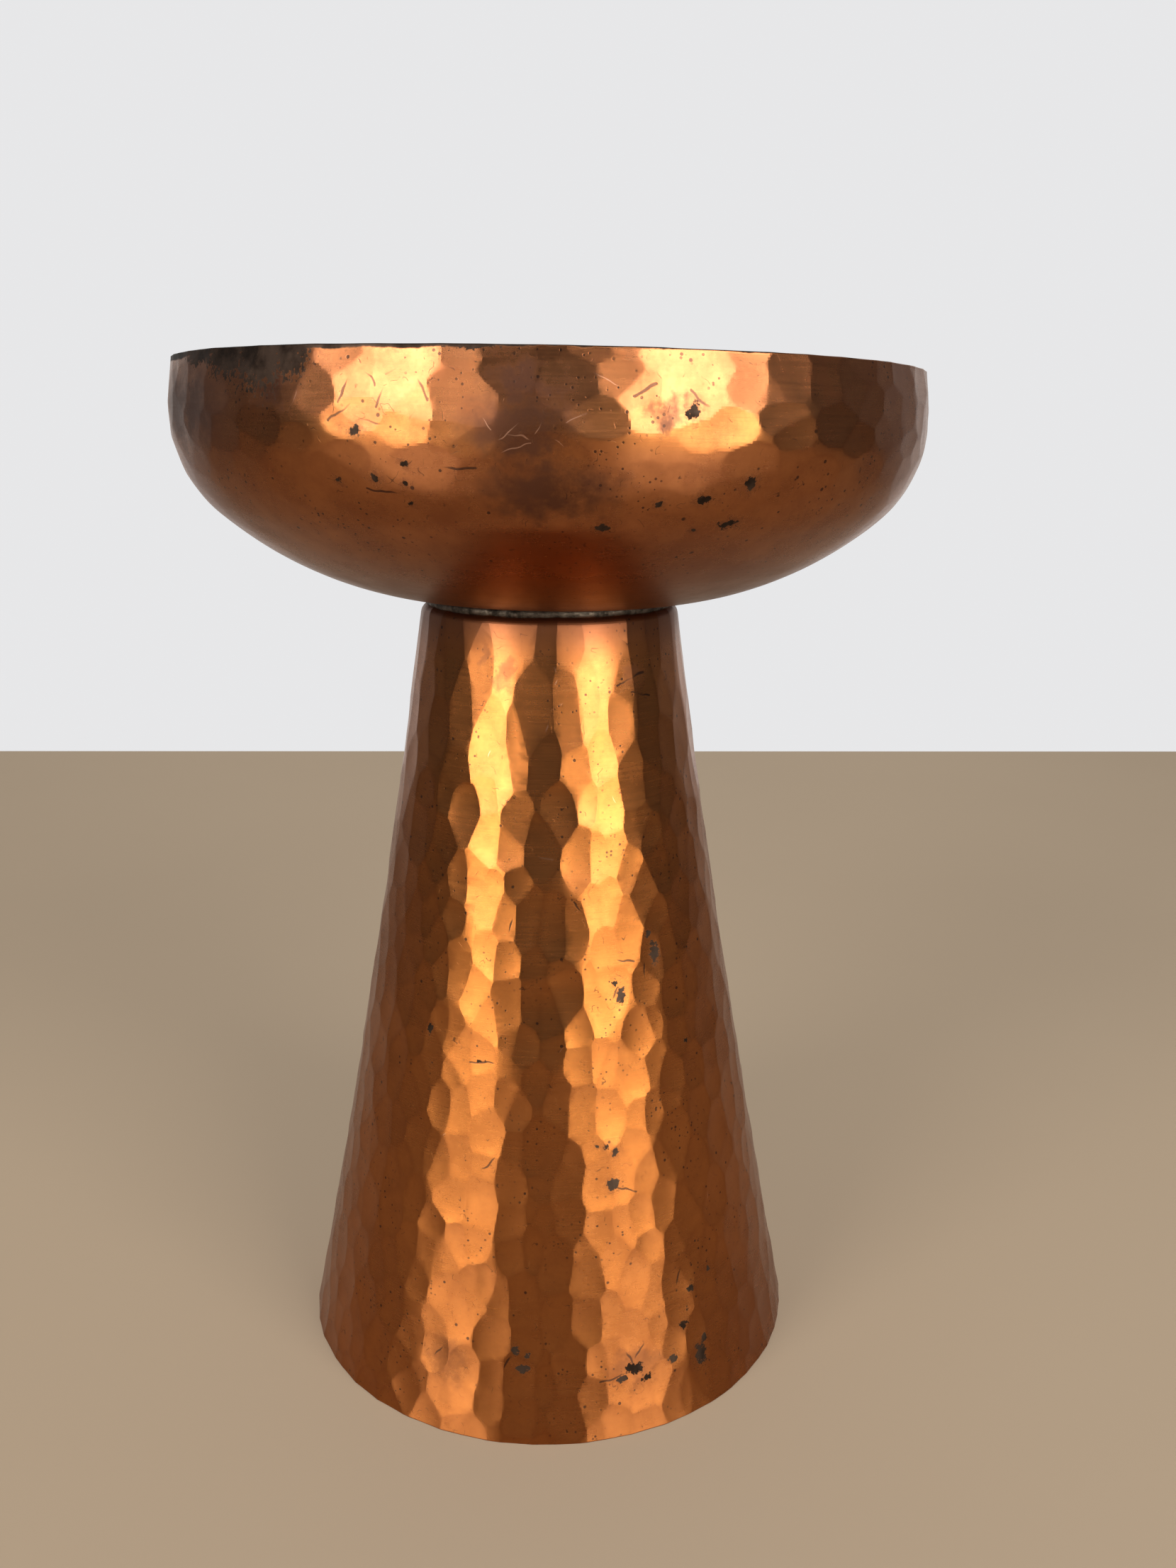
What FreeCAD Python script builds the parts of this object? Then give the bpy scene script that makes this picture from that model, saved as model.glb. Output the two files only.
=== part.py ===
import FreeCAD, Part
import Sketcher
import os
from math import atan2, hypot, pi, sqrt

# A raised sheet-copper bowl on a tall conical foot, soft-soldered together.
#
# Millimetres. The origin is the middle of the foot's open base, on the surface
# that the object stands on, and +Z is up. Every piece is round about the Z axis,
# so each is a half section drawn on the XZ plane and turned once round.

# The driving dimensions: name, value, meaning.
SIZES = (
    ("foot_base_radius", 55.3, "outside of the foot where it stands"),
    ("foot_top_radius", 26.8, "outside of the foot's shoulder, before it is rounded"),
    ("foot_tall", 164.7, "height of the foot's flat top"),
    ("foot_flank_radius", 2860.0, "the flank is very slightly hollow along its height"),
    ("foot_shoulder_round", 2.5, "outside rounding of the shoulder"),
    ("foot_sheet", 1.2, "thickness of the foot's copper sheet"),
    ("solder_film", 0.5, "solder between the foot's top and the bowl's bottom"),
    ("bead_radius", 0.9, "rounding of the bead that shows all round the joint"),
    ("bead_reach", 26.1, "outermost radius of that bead"),
    ("bowl_flat_radius", 19.8, "flat middle of the bowl's underside"),
    ("bowl_knuckle_radius", 24.6, "the tighter turn from the belly up to the side"),
    ("bowl_side_radius", 47.5, "the side, which leans in a little towards the rim"),
    ("bowl_widest_radius", 75.0, "outside of the bowl at its widest"),
    ("bowl_widest_level", 201.3, "height of the widest place"),
    ("bowl_rim_level", 211.6, "height of the plain cut rim"),
    ("bowl_sheet", 1.2, "thickness of the bowl's copper sheet"),
    ("rim_round", 0.4, "the rim's two corners, eased with a file"),
)

# Places on a piece of sketch geometry, and the sketch's own origin.
START, END, CENTRE = 1, 2, 3
ORIGIN = (-1, 1)
VERTICAL_AXIS = -2


def make_sheet(doc):
    """The spreadsheet of driving dimensions, one alias to a row."""
    sheet = doc.addObject("Spreadsheet::Sheet", "sizes")
    for row, (alias, value, meaning) in enumerate(SIZES, start=1):
        sheet.set(f"A{row}", alias)
        sheet.set(f"B{row}", str(value))
        sheet.set(f"C{row}", meaning)
        sheet.setAlias(f"B{row}", alias)
    doc.recompute()
    return sheet


def new_body(doc, name):
    body = doc.addObject("PartDesign::Body", name)
    body.Label = name
    body.Placement = FreeCAD.Placement()
    return body


def half_section(body):
    """An empty sketch on the body's XZ plane: across is radius, up is height."""
    plane = next(f for f in body.Origin.OriginFeatures if f.Role == "XZ_Plane")
    sketch = body.newObject("Sketcher::SketchObject", body.Name + "_section")
    sketch.AttachmentSupport = [(plane, "")]
    sketch.MapMode = "FlatFace"
    return sketch


def draw_line(sketch, start, end):
    a = FreeCAD.Vector(*start, 0)
    b = FreeCAD.Vector(*end, 0)
    return sketch.addGeometry(Part.LineSegment(a, b), False)


def draw_arc(sketch, centre, radius, start_angle, end_angle):
    """An arc that runs anticlockwise from one angle to the other."""
    circle = Part.Circle(FreeCAD.Vector(*centre, 0), FreeCAD.Vector(0, 0, 1), radius)
    return sketch.addGeometry(Part.ArcOfCircle(circle, start_angle, end_angle), False)


def tie(sketch, kind, *places):
    """A geometric constraint, such as Coincident or Tangent."""
    sketch.addConstraint(Sketcher.Constraint(kind, *places))


def dimension(sketch, name, kind, places, formula):
    """A named dimension whose value comes from the spreadsheet."""
    value = float(sketch.evalExpression(formula))
    index = sketch.addConstraint(Sketcher.Constraint(kind, *places, value))
    sketch.renameConstraint(index, name)
    sketch.setExpression("Constraints." + name, formula)


def turn_round(body, sketch):
    """One full turn of the section about the vertical axis."""
    turned = body.newObject("PartDesign::Revolution", body.Name + "_turned")
    turned.Profile = sketch
    turned.ReferenceAxis = (sketch, ["V_Axis"])
    turned.Angle = 360.0
    body.Document.recompute()
    return turned


def rings_at(shape, level):
    """Names of the circular edges that lie at one height."""
    names = []
    for number, edge in enumerate(shape.Edges, start=1):
        box = edge.BoundBox
        flat = abs(box.ZMin - level) < 1e-4 and abs(box.ZMax - level) < 1e-4
        if flat and edge.Curve.TypeId == "Part::GeomCircle":
            names.append(f"Edge{number}")
    return names


def round_edges(body, name, base, level, formula):
    """A fillet on the circular edges at one height."""
    fillet = body.newObject("PartDesign::Fillet", name)
    fillet.Base = (base, rings_at(base.Shape, level))
    fillet.setExpression("Radius", formula)
    body.Document.recompute()
    return fillet


def make_foot(doc, sheet):
    """A hollow cone, open below, with a closed flat top that carries the bowl."""
    body = new_body(doc, "conical_foot")
    sketch = half_section(body)
    thick = sheet.foot_sheet
    base = (sheet.foot_base_radius, 0.0)
    top = (sheet.foot_top_radius, sheet.foot_tall)

    # The flank's arc is centred far outside, square to the chord from base to top.
    chord = hypot(base[0] - top[0], top[1])
    reach = sqrt(sheet.foot_flank_radius ** 2 - chord ** 2 / 4)
    centre = (
        (base[0] + top[0]) / 2 + reach * top[1] / chord,
        top[1] / 2 + reach * (base[0] - top[0]) / chord,
    )
    top_angle = atan2(top[1] - centre[1], top[0] - centre[0])
    base_angle = atan2(-centre[1], base[0] - centre[0])

    outside = draw_arc(sketch, centre, sheet.foot_flank_radius, top_angle, base_angle)
    inside = draw_arc(sketch, centre, sheet.foot_flank_radius + thick, top_angle, base_angle)
    top_outside = draw_line(sketch, (0, top[1]), top)
    top_inside = draw_line(sketch, (0, top[1] - thick), (top[0] - thick, top[1] - thick))
    edge = draw_line(sketch, (base[0] - thick, 0), base)
    middle = draw_line(sketch, (0, top[1] - thick), (0, top[1]))

    tie(sketch, "Coincident", top_outside, END, outside, START)
    tie(sketch, "Coincident", outside, END, edge, END)
    tie(sketch, "Coincident", edge, START, inside, END)
    tie(sketch, "Coincident", inside, START, top_inside, END)
    tie(sketch, "Coincident", top_inside, START, middle, START)
    tie(sketch, "Coincident", middle, END, top_outside, START)
    tie(sketch, "Coincident", inside, CENTRE, outside, CENTRE)
    tie(sketch, "PointOnObject", middle, START, VERTICAL_AXIS)
    tie(sketch, "Vertical", middle)
    tie(sketch, "Horizontal", top_outside)
    tie(sketch, "Horizontal", top_inside)
    tie(sketch, "Horizontal", edge)

    dimension(sketch, "base_radius", "DistanceX", (*ORIGIN, edge, END), "sizes.foot_base_radius")
    dimension(sketch, "base_level", "DistanceY", (*ORIGIN, edge, END), "0")
    dimension(sketch, "top_radius", "DistanceX", (*ORIGIN, outside, START), "sizes.foot_top_radius")
    dimension(sketch, "top_level", "DistanceY", (*ORIGIN, outside, START), "sizes.foot_tall")
    dimension(sketch, "flank", "Radius", (outside,), "sizes.foot_flank_radius")
    dimension(sketch, "flank_inside", "Radius", (inside,), "sizes.foot_flank_radius + sizes.foot_sheet")
    dimension(sketch, "top_sheet", "DistanceY", (middle, START, middle, END), "sizes.foot_sheet")

    turned = turn_round(body, sketch)
    shoulder = round_edges(body, "shoulder_outside", turned, sheet.foot_tall,
                           "sizes.foot_shoulder_round")
    round_edges(body, "shoulder_inside", shoulder, sheet.foot_tall - thick,
                "sizes.foot_shoulder_round - sizes.foot_sheet")
    return body


def make_bowl(doc, sheet):
    """A shallow round bowl of one even thickness, open above, with a plain cut rim."""
    body = new_body(doc, "bowl")
    sketch = half_section(body)
    thick = sheet.bowl_sheet
    bottom = sheet.foot_tall + sheet.solder_film
    widest = sheet.bowl_widest_level
    flat = sheet.bowl_flat_radius

    # Three arcs, each tangent to the next: belly, knuckle and side. The knuckle and
    # the side meet at the widest place. The belly starts level with the flat bottom,
    # and its radius is the one that also meets the knuckle without a corner.
    side = (sheet.bowl_widest_radius - sheet.bowl_side_radius, widest)
    knuckle = (sheet.bowl_widest_radius - sheet.bowl_knuckle_radius, widest)
    across = knuckle[0] - flat
    rise = widest - bottom
    belly_radius = across ** 2 + rise ** 2 - sheet.bowl_knuckle_radius ** 2
    belly_radius /= 2 * (rise - sheet.bowl_knuckle_radius)
    belly = (flat, bottom + belly_radius)
    turn_angle = atan2(knuckle[1] - belly[1], knuckle[0] - belly[0])

    def wall(inset):
        """The three arcs at one depth below the outside, from the middle to the rim."""
        side_radius = sheet.bowl_side_radius - inset
        above = sheet.bowl_rim_level - widest
        rim_angle = atan2(above, sqrt(side_radius ** 2 - above ** 2))
        knuckle_radius = sheet.bowl_knuckle_radius - inset
        return (
            draw_arc(sketch, belly, belly_radius - inset, -pi / 2, turn_angle),
            draw_arc(sketch, knuckle, knuckle_radius, turn_angle, 0),
            draw_arc(sketch, side, side_radius, 0, rim_angle),
        )

    def rim_radius(inset):
        above = sheet.bowl_rim_level - widest
        return side[0] + sqrt((sheet.bowl_side_radius - inset) ** 2 - above ** 2)

    outside = wall(0)
    inside = wall(thick)
    under = draw_line(sketch, (0, bottom), (flat, bottom))
    floor = draw_line(sketch, (0, bottom + thick), (flat, bottom + thick))
    middle = draw_line(sketch, (0, bottom), (0, bottom + thick))
    rim = draw_line(sketch, (rim_radius(thick), sheet.bowl_rim_level),
                    (rim_radius(0), sheet.bowl_rim_level))

    for level_line, arcs in ((under, outside), (floor, inside)):
        tie(sketch, "Tangent", level_line, END, arcs[0], START)
        tie(sketch, "Tangent", arcs[0], END, arcs[1], START)
        tie(sketch, "Tangent", arcs[1], END, arcs[2], START)
        tie(sketch, "Horizontal", level_line)
    for outer_arc, inner_arc in zip(outside, inside):
        tie(sketch, "Coincident", inner_arc, CENTRE, outer_arc, CENTRE)
    tie(sketch, "Coincident", under, START, middle, START)
    tie(sketch, "Coincident", floor, START, middle, END)
    tie(sketch, "Coincident", rim, END, outside[2], END)
    tie(sketch, "Coincident", rim, START, inside[2], END)
    tie(sketch, "Horizontal", rim)
    tie(sketch, "Vertical", middle)
    tie(sketch, "PointOnObject", middle, START, VERTICAL_AXIS)
    tie(sketch, "Horizontal", outside[1], CENTRE, outside[1], END)

    dimension(sketch, "bottom_level", "DistanceY", (*ORIGIN, under, START),
              "sizes.foot_tall + sizes.solder_film")
    dimension(sketch, "flat_radius", "DistanceX", (*ORIGIN, under, END), "sizes.bowl_flat_radius")
    dimension(sketch, "knuckle", "Radius", (outside[1],), "sizes.bowl_knuckle_radius")
    dimension(sketch, "side", "Radius", (outside[2],), "sizes.bowl_side_radius")
    dimension(sketch, "widest_radius", "DistanceX", (*ORIGIN, outside[1], END),
              "sizes.bowl_widest_radius")
    dimension(sketch, "widest_level", "DistanceY", (*ORIGIN, outside[1], END),
              "sizes.bowl_widest_level")
    dimension(sketch, "rim_level", "DistanceY", (*ORIGIN, rim, END), "sizes.bowl_rim_level")
    dimension(sketch, "sheet", "DistanceY", (middle, START, middle, END), "sizes.bowl_sheet")

    turned = turn_round(body, sketch)
    round_edges(body, "rim_corners", turned, sheet.bowl_rim_level, "sizes.rim_round")
    return body


def make_solder(doc, sheet, foot, bowl):
    """The solder: a thin disc between foot and bowl that ends in a bead all round.

    It is drawn a little too thick, and both copper pieces are cut away from it, so
    that it meets each of them face to face.
    """
    blank = new_body(doc, "solder_blank")
    sketch = half_section(blank)
    radius = sheet.bead_radius
    centre = (sheet.bead_reach - radius, sheet.foot_tall + sheet.solder_film / 2)
    low = centre[1] - radius
    high = centre[1] + radius

    bead = draw_arc(sketch, centre, radius, -pi / 2, pi / 2)
    under = draw_line(sketch, (0, low), (centre[0], low))
    over = draw_line(sketch, (0, high), (centre[0], high))
    middle = draw_line(sketch, (0, low), (0, high))

    tie(sketch, "Tangent", under, END, bead, START)
    tie(sketch, "Tangent", over, END, bead, END)
    tie(sketch, "Coincident", under, START, middle, START)
    tie(sketch, "Coincident", over, START, middle, END)
    tie(sketch, "Horizontal", under)
    tie(sketch, "Horizontal", over)
    tie(sketch, "Vertical", middle)
    tie(sketch, "PointOnObject", middle, START, VERTICAL_AXIS)
    dimension(sketch, "bead", "Radius", (bead,), "sizes.bead_radius")
    dimension(sketch, "bead_across", "DistanceX", (*ORIGIN, bead, CENTRE),
              "sizes.bead_reach - sizes.bead_radius")
    dimension(sketch, "bead_level", "DistanceY", (*ORIGIN, bead, CENTRE),
              "sizes.foot_tall + sizes.solder_film / 2")
    turn_round(blank, sketch)

    on_foot = doc.addObject("Part::Cut", "solder_on_foot")
    on_foot.Base = blank
    on_foot.Tool = foot
    solder = doc.addObject("Part::Cut", "solder_joint")
    solder.Label = "solder_joint"
    solder.Base = on_foot
    solder.Tool = bowl
    solder.Placement = FreeCAD.Placement()
    doc.recompute()
    return solder


def check(doc, pieces):
    """Stops if a feature failed, a sketch is loose or a piece is not one sound solid."""
    for item in doc.Objects:
        if "Invalid" in item.State or "Error" in item.State:
            raise RuntimeError(f"{item.Name} failed: {item.State}")
        if item.TypeId == "Sketcher::SketchObject" and not item.FullyConstrained:
            raise RuntimeError(f"{item.Name} is not fully constrained")
    for piece in pieces:
        shape = piece.Shape
        if shape.isNull() or not shape.isValid() or len(shape.Solids) != 1:
            raise RuntimeError(f"{piece.Label} is not one sound solid")
    for number, piece in enumerate(pieces):
        for other in pieces[number + 1:]:
            overlap = piece.Shape.common(other.Shape).Volume
            if overlap > 0.01:
                raise RuntimeError(f"{piece.Label} overlaps {other.Label}: {overlap:.3f} mm3")


def export(pieces):
    os.makedirs("parts", exist_ok=True)
    for piece in pieces:
        piece.Shape.exportStep(f"parts/{piece.Label}.step")
        print(f"{piece.Label}: {piece.Shape.Volume / 1000:.2f} cm3")


document = FreeCAD.newDocument("footed_bowl")
sizes = make_sheet(document)
foot_piece = make_foot(document, sizes)
bowl_piece = make_bowl(document, sizes)
solder_piece = make_solder(document, sizes, foot_piece, bowl_piece)
document.recompute()
all_pieces = (foot_piece, bowl_piece, solder_piece)
check(document, all_pieces)
export(all_pieces)
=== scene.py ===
from math import atan2, cos, hypot, pi, radians, sin, sqrt

import bpy
import numpy as np
from mathutils import Matrix, Vector


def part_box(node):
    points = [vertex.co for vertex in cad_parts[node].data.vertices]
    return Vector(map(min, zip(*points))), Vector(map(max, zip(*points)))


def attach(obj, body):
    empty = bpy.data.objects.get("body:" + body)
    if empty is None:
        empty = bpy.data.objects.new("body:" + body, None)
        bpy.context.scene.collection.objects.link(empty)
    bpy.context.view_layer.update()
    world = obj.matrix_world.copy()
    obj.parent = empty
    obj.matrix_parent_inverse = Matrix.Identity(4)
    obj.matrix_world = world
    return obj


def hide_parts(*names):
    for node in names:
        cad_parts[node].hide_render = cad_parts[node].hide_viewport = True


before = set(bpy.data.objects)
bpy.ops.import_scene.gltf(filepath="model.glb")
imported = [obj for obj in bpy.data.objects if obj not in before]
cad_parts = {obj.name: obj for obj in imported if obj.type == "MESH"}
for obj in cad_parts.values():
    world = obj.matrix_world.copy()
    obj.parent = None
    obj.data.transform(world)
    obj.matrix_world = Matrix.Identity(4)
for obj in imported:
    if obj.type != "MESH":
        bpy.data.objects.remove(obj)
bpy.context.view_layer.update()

# A planished copper bowl on a tall conical foot. Lengths of the pieces are millimetres
# until a mesh or a material is made; MM turns them into Blender's metres. The studio is
# in metres.
MM = 0.001


def span(node):
    """A CAD node's lowest and highest corner in millimetres."""
    low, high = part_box(node)
    return [c / MM for c in low], [c / MM for c in high]


BOWL_LOW, BOWL_HIGH = span("bowl")
FOOT_LOW, FOOT_HIGH = span("conical_foot")
SHEET = 1.2                       # thickness of both sheets
RIM_LEVEL = BOWL_HIGH[2]
BOWL_BOTTOM = BOWL_LOW[2]
WIDEST_RADIUS = BOWL_HIGH[0]
FOOT_TALL = FOOT_HIGH[2]
FOOT_BASE_RADIUS = FOOT_HIGH[0]

# The arcs that the CAD model's half sections are drawn with.
WIDEST_LEVEL = RIM_LEVEL - 10.3
SIDE_RADIUS = 47.5
KNUCKLE_RADIUS = 24.6
FLAT_RADIUS = 19.8
FOOT_TOP_RADIUS = 26.8
FLANK_RADIUS = 2860.0
SHOULDER_ROUND = 2.5
RIM_ROUND = 0.45
BASE_ROUND = 0.3

# How finely the pieces are made: points round them, and distances along the walls.
BOWL_MARK_COLUMNS = 1500
FOOT_MARK_COLUMNS = 1200
MARK_STEP = 0.3
BOWL_COLUMNS = 1100
BOWL_STEPS = (0.42, 0.8)          # outside, inside
FOOT_COLUMNS = 960
FOOT_STEPS = (0.38, 2.0)
MOST_TRIANGLES = 190_000          # in each sheet
SHARP_DEGREES = 3.5               # a crease at least this sharp isn't smoothed over

BOWL_MARKS_SEED = 71
BOWL_UNEVEN_SEED = 5
FOOT_MARKS_SEED = 23
FOOT_UNEVEN_SEED = 9
BEAD_SEED = 3


# ---------------------------------------------------------------- half sections

def arc(centre, radius, start, end, step=0.1):
    """Points along an arc and the normals that point away from its centre."""
    count = max(3, int(abs(end - start) * radius / step))
    angle = np.linspace(start, end, count)
    normal = np.stack([np.cos(angle), np.sin(angle)], axis=1)
    return np.array(centre) + radius * normal, normal


def line(start, end, normal, step=0.1):
    count = max(3, int(hypot(end[0] - start[0], end[1] - start[1]) / step))
    points = np.linspace(start, end, count)
    return points, np.tile(normal, (count, 1))


class Wall:
    """A half section as a dense run of points, looked up by distance along it."""

    def __init__(self, pieces):
        points = np.concatenate([p for p, _ in pieces])
        normals = np.concatenate([n for _, n in pieces])
        steps = np.hypot(*np.diff(points, axis=0).T)
        keep = np.concatenate([[True], steps > 1e-6])
        self.points, self.normals = points[keep], normals[keep]
        steps = np.hypot(*np.diff(self.points, axis=0).T)
        self.run = np.concatenate([[0.0], np.cumsum(steps)])
        self.length = self.run[-1]

    def at(self, run):
        """Radius, height and the normal's two parts at distances along the wall."""
        return [np.interp(run, self.run, column)
                for column in (*self.points.T, *self.normals.T)]

    def run_at_level(self, level):
        """Distance along a wall that only rises."""
        return np.interp(level, self.points[:, 1], self.run)


def bowl_walls():
    """Outside from the middle of the underside to the rim, and inside back again."""
    side = (WIDEST_RADIUS - SIDE_RADIUS, WIDEST_LEVEL)
    knuckle = (WIDEST_RADIUS - KNUCKLE_RADIUS, WIDEST_LEVEL)
    across = knuckle[0] - FLAT_RADIUS
    rise = WIDEST_LEVEL - BOWL_BOTTOM
    belly_radius = across ** 2 + rise ** 2 - KNUCKLE_RADIUS ** 2
    belly_radius /= 2 * (rise - KNUCKLE_RADIUS)
    belly = (FLAT_RADIUS, BOWL_BOTTOM + belly_radius)
    turn = atan2(knuckle[1] - belly[1], knuckle[0] - belly[0])
    rim_corner = RIM_LEVEL - RIM_ROUND

    def climb(inset):
        top = atan2(rim_corner - WIDEST_LEVEL, SIDE_RADIUS - inset)
        return [
            line((0, BOWL_BOTTOM + inset), (FLAT_RADIUS, BOWL_BOTTOM + inset), (0, -1)),
            arc(belly, belly_radius - inset, -pi / 2, turn),
            arc(knuckle, KNUCKLE_RADIUS - inset, turn, 0),
            arc(side, SIDE_RADIUS - inset, 0, top),
        ]

    outside = climb(0)
    inside = [(p[::-1], -n[::-1]) for p, n in reversed(climb(SHEET))]
    return Wall(outside), Wall(inside)


def foot_walls():
    """Outside from the middle of the top down to the base, and inside back up."""
    corner = (FOOT_TOP_RADIUS, FOOT_TALL)
    chord = hypot(FOOT_BASE_RADIUS - corner[0], corner[1])
    reach = sqrt(FLANK_RADIUS ** 2 - chord ** 2 / 4)
    centre = (
        (FOOT_BASE_RADIUS + corner[0]) / 2 + reach * corner[1] / chord,
        corner[1] / 2 + reach * (FOOT_BASE_RADIUS - corner[0]) / chord,
    )

    def climb(inset):
        """The closed top, the rounded shoulder and the flank, at one depth."""
        round_radius = SHOULDER_ROUND - inset
        level = FOOT_TALL - SHOULDER_ROUND
        away = FLANK_RADIUS + SHOULDER_ROUND
        shoulder = (centre[0] - sqrt(away ** 2 - (centre[1] - level) ** 2), level)
        flank_radius = FLANK_RADIUS + inset
        top = atan2(shoulder[1] - centre[1], shoulder[0] - centre[0])
        base_across = sqrt(flank_radius ** 2 - (centre[1] - BASE_ROUND) ** 2)
        base = atan2(BASE_ROUND - centre[1], -base_across)
        flank_points, flank_normals = arc(centre, flank_radius, top, base)
        return [
            line((0, FOOT_TALL - inset), (shoulder[0], FOOT_TALL - inset), (0, 1)),
            arc(shoulder, round_radius, pi / 2, top + pi, 0.05),
            (flank_points, -flank_normals),
        ]

    outside = climb(0)
    inside = [(p[::-1], -n[::-1]) for p, n in reversed(climb(SHEET))]
    return Wall(outside), Wall(inside)


# --------------------------------------------------------------- hammer marks

EDGE_RISE = 0.35                  # how far a face has curled up at the end of its reach
RIDGE_WIDTH = 0.30
LEAST_SLOPE = 0.01                # keeps ridges() from dividing by nothing
FULL_RIDGE_SLOPE = 0.08           # marks that meet this steeply make a full ridge
INSIDE_SHARE = 0.5                # how much of a mark shows through inside


class HammerMarks:
    """How far a wall has been pressed in, unrolled to rows along it and columns round it.

    A blow presses a nearly flat face into the round wall. Where blows overlap, the
    deepest one shows, so that neighbours meet in crisp ridges.
    """

    def __init__(self, wall, columns, step):
        self.rows = int(wall.length / step) + 1
        self.columns = columns
        self.length = wall.length
        self.step = wall.length / (self.rows - 1)
        self.run = np.linspace(0, wall.length, self.rows)
        self.radius, self.level, self.across, _ = wall.at(self.run)
        self.depth = np.zeros((self.rows, columns))
        self.beaten = np.zeros((self.rows, columns))

    def strike(self, run, turn, blow, wide, tall, along_bend):
        """Presses one blow: depth, flattening, crown and tip, within wide by tall."""
        first = max(0, int((run - tall) / self.step))
        last = min(self.rows, int((run + tall) / self.step) + 2)
        radius = float(np.interp(run, self.run, self.radius))
        across = float(np.interp(run, self.run, self.across))
        column_width = 2 * pi * radius / self.columns
        half = min(self.columns // 2, int(wide / column_width) + 1)
        middle = turn / (2 * pi) * self.columns
        columns = np.arange(int(middle) - half, int(middle) + half + 1)
        x = ((columns - middle) * column_width)[None, :]
        y = (self.run[first:last] - run)[:, None]
        patch = np.ix_(range(first, last), columns % self.columns)
        before = self.depth[patch]
        face = -blow["depth"] + blow["tip_x"] * x + blow["tip_y"] * y
        face = face + blow["flat"] * across / radius * x ** 2 / 2
        face = face + blow["flat"] * along_bend * y ** 2 / 2
        face = face + blow["crown"] * (x ** 2 + y ** 2) / 2
        face = face + EDGE_RISE * ((x / wide) ** 4 + (y / tall) ** 4)
        self.depth[patch] = np.minimum(before, face)
        self.beaten[patch] = np.minimum(self.beaten[patch], np.maximum(before, face))

    def ridges(self):
        """1 along the ridge between two marks, fading to 0 within about half a millimetre."""
        margin = self.beaten - self.depth
        down = np.gradient(margin, self.step, axis=0)
        right = np.gradient(margin, axis=1) * self.columns
        right /= 2 * pi * np.maximum(self.radius, 1)[:, None]
        slope = np.hypot(down, right)
        away = margin / (slope + LEAST_SLOPE)
        crisp = np.clip(slope / FULL_RIDGE_SLOPE, 0, 1)
        return np.exp(-(away / RIDGE_WIDTH) ** 2) * crisp

    def at(self, field, run, turn):
        """A field's value at distances along the wall and angles round it, both arrays."""
        row = np.clip(run / self.length, 0, 1) * (self.rows - 1)
        column = turn / (2 * pi) * self.columns
        row0 = np.minimum(row.astype(int), self.rows - 2)
        column0 = np.floor(column).astype(int)
        down, right = row - row0, column - column0
        a, b = column0 % self.columns, (column0 + 1) % self.columns
        upper = field[row0, a] * (1 - right) + field[row0, b] * right
        lower = field[row0 + 1, a] * (1 - right) + field[row0 + 1, b] * right
        return upper * (1 - down) + lower * down


def courses(rng, start, end, apart):
    """Distances of the rows of blows along a wall, apart by what apart(run) says."""
    run = start
    while run < end:
        yield run
        run += apart(run) * rng.uniform(0.9, 1.1)


def plan_foot(marks, rng):
    """Scale-like marks all over the flank, longer and flatter towards the top."""
    def towards_top(run):
        return float(np.clip((60 - run) / 35, 0, 1))

    def rows_apart(run):
        return 6.4 + 7 * towards_top(run)

    start = FOOT_TOP_RADIUS - 2
    for run in courses(rng, start, marks.length + 3, rows_apart):
        radius = float(np.interp(run, marks.run, marks.radius))
        top = towards_top(run)
        marks_apart = 5.9 + 1.2 * top
        count = int(2 * pi * radius / marks_apart)
        turn0 = rng.uniform(0, 2 * pi)
        for number in range(count):
            turn = turn0 + (number + rng.uniform(-0.36, 0.36)) * 2 * pi / count
            here = run + rng.uniform(-0.45, 0.45) * rows_apart(run)
            blow = {
                "depth": rng.normal(0.22, 0.035) * (1 - 0.35 * top),
                "flat": rng.uniform(0.75, 1.0),
                "crown": 1 / rng.uniform(55, 150) / (1 + 4 * top),
                "tip_x": rng.normal(0, 0.022),
                "tip_y": rng.normal(0, 0.022) * (1 - 0.7 * top),
            }
            marks.strike(here, turn, blow, wide=7.5, tall=11 + 18 * top, along_bend=0)


# About where the bowl's outside turns from belly to knuckle and from knuckle to side,
# as distances along it, and the belly's rounded radius.
BELLY_END = 71
KNUCKLE_END = 92
BELLY_RADIUS = 71
# How deep the marks are at each level: strong on the side, faint on the belly.
BOWL_STRENGTHS = ((BOWL_BOTTOM, 0.07), (184, 0.15), (191, 0.34), (199, 1.0))


def plan_bowl(marks, rng):
    """Broad flat marks round the side, much fainter ones on the belly."""
    side_start = marks.length - 26
    rows_apart = 6.0
    for run in courses(rng, 12, marks.length + 2, lambda run: rows_apart):
        radius = float(np.interp(run, marks.run, marks.radius))
        on_side = float(np.clip((run - side_start + 12) / 12, 0, 1))
        marks_apart = 5.6 + 1.0 * on_side
        count = int(2 * pi * radius / marks_apart)
        if run < BELLY_END:
            bend = 1 / BELLY_RADIUS
        elif run < KNUCKLE_END:
            bend = 1 / KNUCKLE_RADIUS
        else:
            bend = 1 / SIDE_RADIUS
        turn0 = rng.uniform(0, 2 * pi)
        for number in range(count):
            turn = turn0 + (number + rng.uniform(-0.42, 0.42)) * 2 * pi / count
            here = run + rng.uniform(-0.48, 0.48) * rows_apart
            blow = {
                "depth": rng.normal(0.22, 0.04),
                "flat": rng.uniform(0.8, 1.05),
                "crown": 1 / rng.uniform(110, 350),
                "tip_x": rng.normal(0, 0.020),
                "tip_y": rng.normal(0, 0.022),
            }
            marks.strike(here, turn, blow, wide=11, tall=11, along_bend=bend)
    strength = np.interp(marks.level, *zip(*BOWL_STRENGTHS))
    marks.depth *= strength[:, None]
    marks.beaten *= strength[:, None]


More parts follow.
